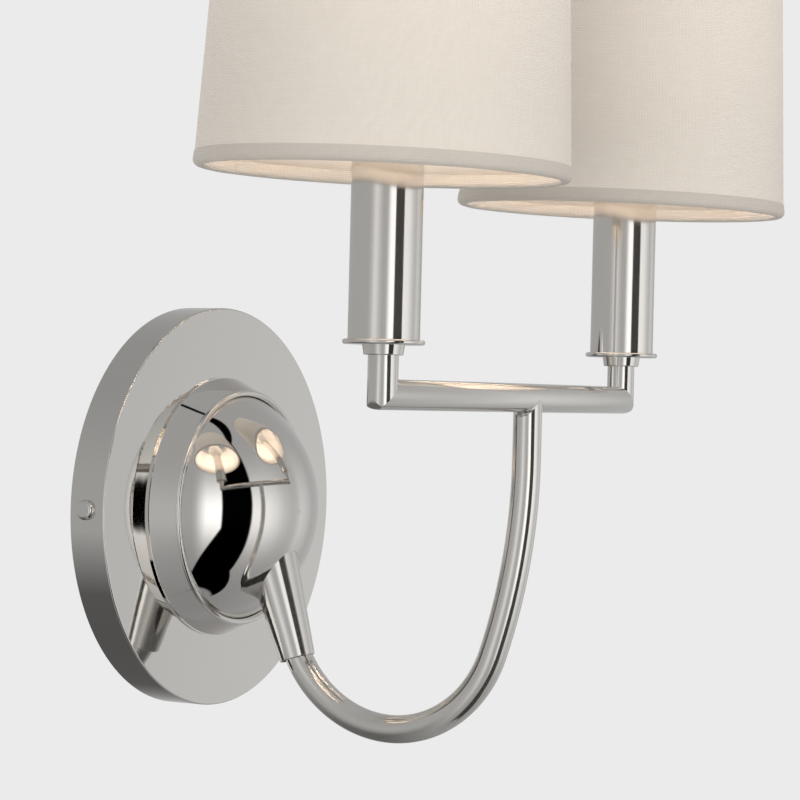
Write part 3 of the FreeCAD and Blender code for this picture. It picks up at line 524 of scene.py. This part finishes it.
def linen_weave(length):
    """Warp and weft about half a millimetre apart, with slubs. length is the cloth's, from fold to fold. The
    doubled cloth of the hems lets less light through, and that shade is painted into their colour as a greyer
    band."""
    material = bpy.data.materials.new("linen")
    tree, shader = nodes_of(material)
    cloth = tree.nodes.new("ShaderNodeUVMap")
    cloth.uv_map = "cloth"
    wander = add(tree, "ShaderNodeTexNoise", Scale=90.0, Detail=2.0)
    tree.links.new(cloth.outputs["UV"], wander.inputs["Vector"])
    wobble = tree.nodes.new("ShaderNodeVectorMath")
    wobble.operation = "MULTIPLY_ADD"
    wobble.inputs[1].default_value = (THREAD_WANDER, THREAD_WANDER, 0)
    tree.links.new(wander.outputs["Color"], wobble.inputs[0])
    tree.links.new(cloth.outputs["UV"], wobble.inputs[2])
    threads = []
    reckon = sums_in(tree)
    for direction, apart in (("X", WARP), ("Y", WEFT)):
        wave = tree.nodes.new("ShaderNodeTexWave")
        wave.bands_direction = direction
        wave.inputs["Scale"].default_value = math.pi / 10 / apart
        tree.links.new(wobble.outputs["Vector"], wave.inputs["Vector"])
        across, along = SLUB_FINENESS if direction == "X" else SLUB_FINENESS[::-1]
        slub = add(tree, "ShaderNodeMapping", Scale=(across, along, 1))
        tree.links.new(cloth.outputs["UV"], slub.inputs["Vector"])
        thick = spread(tree, noise(tree, slub.outputs["Vector"], 1.0, 1.0), *SLUB_SPREAD)
        threads.append(reckon("MULTIPLY", wave.outputs["Fac"], thick))
    cloth_height = reckon("ADD", *threads)
    woven = mottled(tree, spread(tree, cloth_height, *WEAVE_SPREAD), GAP_IN_WEAVE, THREAD_COLOUR)
    up_the_cloth = tree.nodes.new("ShaderNodeSeparateXYZ")
    tree.links.new(cloth.outputs["UV"], up_the_cloth.inputs["Vector"])
    # painted shade: the hems are darker in the cloth's colour, for the bulb's light that their doubled cloth
    # keeps back
    face = reckon("COMPARE", up_the_cloth.outputs["Y"], length / 2, length / 2 - HEM_CLOTH)
    painted_hem_shade = tree.nodes.new("ShaderNodeMix")
    painted_hem_shade.data_type = "RGBA"
    painted_hem_shade.blend_type = "MULTIPLY"
    painted_hem_shade.inputs["Factor"].default_value = 1.0
    tree.links.new(woven, painted_hem_shade.inputs["A"])
    tree.links.new(spread(tree, face, HEM_PAINTED_SHADE, 1.0), painted_hem_shade.inputs["B"])
    tree.links.new(painted_hem_shade.outputs["Result"], shader.inputs["Base Color"])
    shader.inputs["Roughness"].default_value = 0.85
    shader.inputs["Sheen Weight"].default_value = 0.12
    shader.inputs["Sheen Roughness"].default_value = 0.5
    # painted glow: the cloth itself emits warm light, rising along it from above the lower hem, for the bulb
    # shining through
    shader.inputs["Emission Color"].default_value = CLOTH_GLOW_COLOUR
    painted_cloth_glow = ramp(tree, up_the_cloth.outputs["Y"], GLOW_FROM, GLOW_FULL, 0.0, CLOTH_GLOW, "SMOOTHSTEP")
    tree.links.new(painted_cloth_glow, shader.inputs["Emission Strength"])
    bump(tree, shader, cloth_height, WEAVE_DEPTH, 0.6)
    return material


linen = linen_weave(cloth_length(cloth_line()))
backing = moulded("shade_backing", (0.86, 0.81, 0.76), 0.6)
for side in ("left", "right"):
    line = cloth_line()
    shade = rolled(side + "_linen", line, linen, CLOTH, side, LAP_RISE)
    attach(shade, side + "_shade_set")
    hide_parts(side + "_shade")
    cloth_area(line)
    inset = CLOTH + BACKING / 2 + HEM_STEP + LINING_SEAT
    heights = (LINING_END, *LINING_ROWS, TALL - LINING_END)
    stiff = [(FOOT_R + (TOP_R - FOOT_R) * z / TALL - inset, z) for z in heights]
    lining = rolled(side + "_backing", stiff, backing, BACKING, side)
    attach(lining, side + "_shade_set")

# Light inside the shades: a small lamp within each bulb stands for what the lit glass throws on the white
# backing. It sits near the foot of the glass, so the lower rim is as bright as in the photograph.
SHADE_LIGHT = 0.36
SHADE_LIGHT_COLOUR = (1.0, 0.87, 0.74)
SHADE_LIGHT_R = 0.02
SHADE_LIGHT_UP = 0.008
for side in ("left", "right"):
    glow_inside = bpy.data.lights.new(side + "_glow", "POINT")
    glow_inside.energy = SHADE_LIGHT
    glow_inside.color = SHADE_LIGHT_COLOUR
    glow_inside.shadow_soft_size = SHADE_LIGHT_R
    glow_rig = put(side + "_glow", glow_inside)
    glow_rig.location = (LIGHT_X[side], LIGHT_Y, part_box(side + "_bulb")[0].z + SHADE_LIGHT_UP)
    glow_rig.visible_glossy = False

# Room: a plain pale floor far below, and a grey studio with large softboxes and one black flag beside the
# camera. The polished metal mirrors these and not the floor, which is clear from underneath.
FLOOR_Z = -0.9
FLOOR_HALF = 6
BACKDROP = (0.83, 0.83, 0.83, 1)
floor_mesh = bpy.data.meshes.new("floor")
corners = [(FLOOR_HALF * x, FLOOR_HALF * y, FLOOR_Z) for x, y in ((-1, -1), (1, -1), (1, 1), (-1, 1))]
floor_mesh.from_pydata(corners, [], [(0, 1, 2, 3)])
floor = put("floor", floor_mesh)
pale = bpy.data.materials.new("pale_floor")
tree, shader = nodes_of(pale)
shader.inputs["Base Color"].default_value = (0.8, 0.8, 0.8, 1)
shader.inputs["Roughness"].default_value = 0.9
paths = tree.nodes.new("ShaderNodeLightPath")
reckon = sums_in(tree)
seen = add(tree, "ShaderNodeEmission", Color=BACKDROP, Strength=1.0)
looked_at = reckon("MAXIMUM", paths.outputs["Is Camera Ray"], paths.outputs["Is Transmission Ray"])
floor_view = either(tree, looked_at, shader.outputs["BSDF"], seen.outputs["Emission"])
from_below = tree.nodes.new("ShaderNodeNewGeometry").outputs["Backfacing"]
passed_through = reckon("MAXIMUM", paths.outputs["Is Glossy Ray"], from_below)
clear = tree.nodes.new("ShaderNodeBsdfTransparent").outputs["BSDF"]
floor_look = either(tree, passed_through, floor_view, clear)
tree.links.new(floor_look, tree.nodes["Material Output"].inputs["Surface"])
floor_mesh.materials.append(pale)

world = bpy.data.worlds.new("studio")
bpy.context.scene.world = world
world.use_nodes = True
sky = world.node_tree
sky.nodes.clear()
reckon = sums_in(sky)
way = sky.nodes.new("ShaderNodeSeparateXYZ")
sky.links.new(sky.nodes.new("ShaderNodeTexCoord").outputs["Generated"], way.inputs["Vector"])
ahead = reckon("ADD", reckon("MULTIPLY", way.outputs["X"], math.sin(heading)),
               reckon("MULTIPLY", way.outputs["Y"], math.cos(heading)))
rightward = reckon("SUBTRACT", reckon("MULTIPLY", way.outputs["X"], math.cos(heading)),
                   reckon("MULTIPLY", way.outputs["Y"], math.sin(heading)))
# degrees to the camera's right, as seen from the light, and degrees above the horizon
aside = reckon("DEGREES", reckon("ARCTAN2", rightward, reckon("MULTIPLY", ahead, -1.0)))
above = reckon("DEGREES", reckon("ARCSINE", way.outputs["Z"]))

# The softboxes, as degrees to the camera's right and their brightness at eye level. Above and below they fade
# to the room's grey.
ROOM_GREY = 0.42
GROUND_GREY = 0.3
GROUND_NEAR = -80.0
GROUND_FAR = -15.0
SOFTBOXES = [(-180, 0.5), (-150, 0.43), (-55, 0.43), (-45, 0.55), (-34, 0.86), (-27, 0.82), (-19, 0.62),
             (-9, 0.45), (2, 0.46), (6, 0.6), (11, 1.05), (15, 1.42), (26, 1.5), (59, 1.15), (78, 1.05),
             (87, 0.88), (96, 0.68), (106, 0.58), (113, 0.6), (121, 0.76), (131, 0.67), (144, 0.5),
             (180, 0.52)]
SOFTBOX_MIDDLE = -5.0
SOFTBOX_SPREAD = 27.0
bands = sky.nodes.new("ShaderNodeValToRGB")
stops = bands.color_ramp.elements
while len(stops) < len(SOFTBOXES):
    stops.new(0.5)
for element, (degrees, bright) in zip(stops, SOFTBOXES):
    element.position = (degrees + 180) / 360
    element.color = (bright - ROOM_GREY, bright - ROOM_GREY, bright - ROOM_GREY, 1)
sky.links.new(reckon("DIVIDE", reckon("ADD", aside, 180.0), 360.0), bands.inputs["Fac"])
off_middle = reckon("DIVIDE", reckon("SUBTRACT", above, SOFTBOX_MIDDLE), SOFTBOX_SPREAD)
fade = reckon("EXPONENT", reckon("MULTIPLY", reckon("MULTIPLY", off_middle, off_middle), -1.0))
ground = ramp(sky, above, GROUND_NEAR, GROUND_FAR, GROUND_GREY, ROOM_GREY)
lit_room = reckon("ADD", ground, reckon("MULTIPLY", bands.outputs["Color"], fade))

# A black flag stands to the right of the camera. It leans out at its top, and its cloth lies on the floor
# towards the left, where it ends. These are in degrees, but for the slopes LEAN, LIES and WIDENS.
FLAG_LEFT = 29.5
FLAG_RIGHT = 59.0
FLAG_FOOT = -78.0
FLAG_LEAN_FROM = 25.0
FLAG_LEAN = 0.75
FLAG_LIES_FROM = -18.0
FLAG_LIES = 0.62
FLAG_WIDENS_FROM = 55.0
FLAG_WIDENS = 1.9
LEFT_BLUR = 0.7
RIGHT_BLUR = 0.9
FOOT_BLUR = 1.0
upper = reckon("MAXIMUM", reckon("SUBTRACT", above, FLAG_LEAN_FROM), 0.0)
lower = reckon("MAXIMUM", reckon("SUBTRACT", FLAG_LIES_FROM, above), 0.0)
steep = reckon("MAXIMUM", reckon("SUBTRACT", reckon("ABSOLUTE", above), FLAG_WIDENS_FROM), 0.0)
leaning = reckon("SUBTRACT", reckon("MULTIPLY", upper, FLAG_LEAN), reckon("MULTIPLY", lower, FLAG_LIES))
left_edge = reckon("ADD", leaning, FLAG_LEFT)
right_edge = reckon("ADD", reckon("MULTIPLY", steep, FLAG_WIDENS), FLAG_RIGHT)
flag = reckon("MULTIPLY", ramp(sky, reckon("SUBTRACT", aside, left_edge), -LEFT_BLUR, LEFT_BLUR),
              ramp(sky, reckon("SUBTRACT", right_edge, aside), -RIGHT_BLUR, RIGHT_BLUR))
flag = reckon("MULTIPLY", flag, ramp(sky, above, FLAG_FOOT - FOOT_BLUR, FLAG_FOOT + FOOT_BLUR))

# Towards the wall the room is darker, high up a little and low down more.
HIGH_DARKNESS = 0.15
LOW_DARKNESS = 0.7
high_up = ramp(sky, above, 15.0, 50.0, 0.0, HIGH_DARKNESS)
low_down = ramp(sky, above, -12.0, -40.0, 0.0, LOW_DARKNESS)
wall = reckon("MULTIPLY", ramp(sky, way.outputs["Y"], 0.1, 0.5), reckon("MAXIMUM", high_up, low_down))
lit_room = reckon("MULTIPLY", lit_room, reckon("SUBTRACT", 1.0, wall))
room_seen = reckon("MULTIPLY", lit_room, reckon("SUBTRACT", 1.0, flag))

# The camera sees a plain backdrop, the metal mirrors the room, and everything else is lit by an even sky.
ROOM_LIGHT = 0.7
ROOM_LIGHT_COLOUR = (1, 0.985, 0.96, 1)
paths = sky.nodes.new("ShaderNodeLightPath")
plain = add(sky, "ShaderNodeBackground", Color=BACKDROP, Strength=1.0)
soft = add(sky, "ShaderNodeBackground", Color=ROOM_LIGHT_COLOUR, Strength=ROOM_LIGHT)
metal_view = add(sky, "ShaderNodeBackground", Color=(1, 1, 1, 1))
sky.links.new(room_seen, metal_view.inputs["Strength"])
grounds = [node.outputs["Background"] for node in (soft, metal_view, plain)]
unseen = either(sky, paths.outputs["Is Glossy Ray"], grounds[0], grounds[1])
backdrop = either(sky, paths.outputs["Is Camera Ray"], unseen, grounds[2])
sky.links.new(backdrop, sky.nodes.new("ShaderNodeOutputWorld").inputs["Surface"])

LIGHT_MIDDLE = Vector((0, -0.1, 0.06))
LAMP_COLOUR = (1, 0.98, 0.95)


def softbox(name, where, size, power):
    """A large square lamp, aimed at the middle of the light. The metal doesn't mirror it."""
    lamp = bpy.data.lights.new(name, "AREA")
    lamp.size = size
    lamp.energy = power
    lamp.color = LAMP_COLOUR
    rig = put(name, lamp)
    aim = LIGHT_MIDDLE - Vector(where)
    rig.matrix_world = Matrix.Translation(where) @ aim.to_track_quat("-Z", "Y").to_matrix().to_4x4()
    rig.visible_glossy = False


softbox("key", (-0.5, -1.9, 0.7), 1.2, 15)
softbox("fill", (-1.9, -0.3, 0.2), 1.4, 9)
softbox("back", (0.9, 1.7, 0.9), 1.6, 9)

bpy.context.scene.view_settings.view_transform = "Standard"
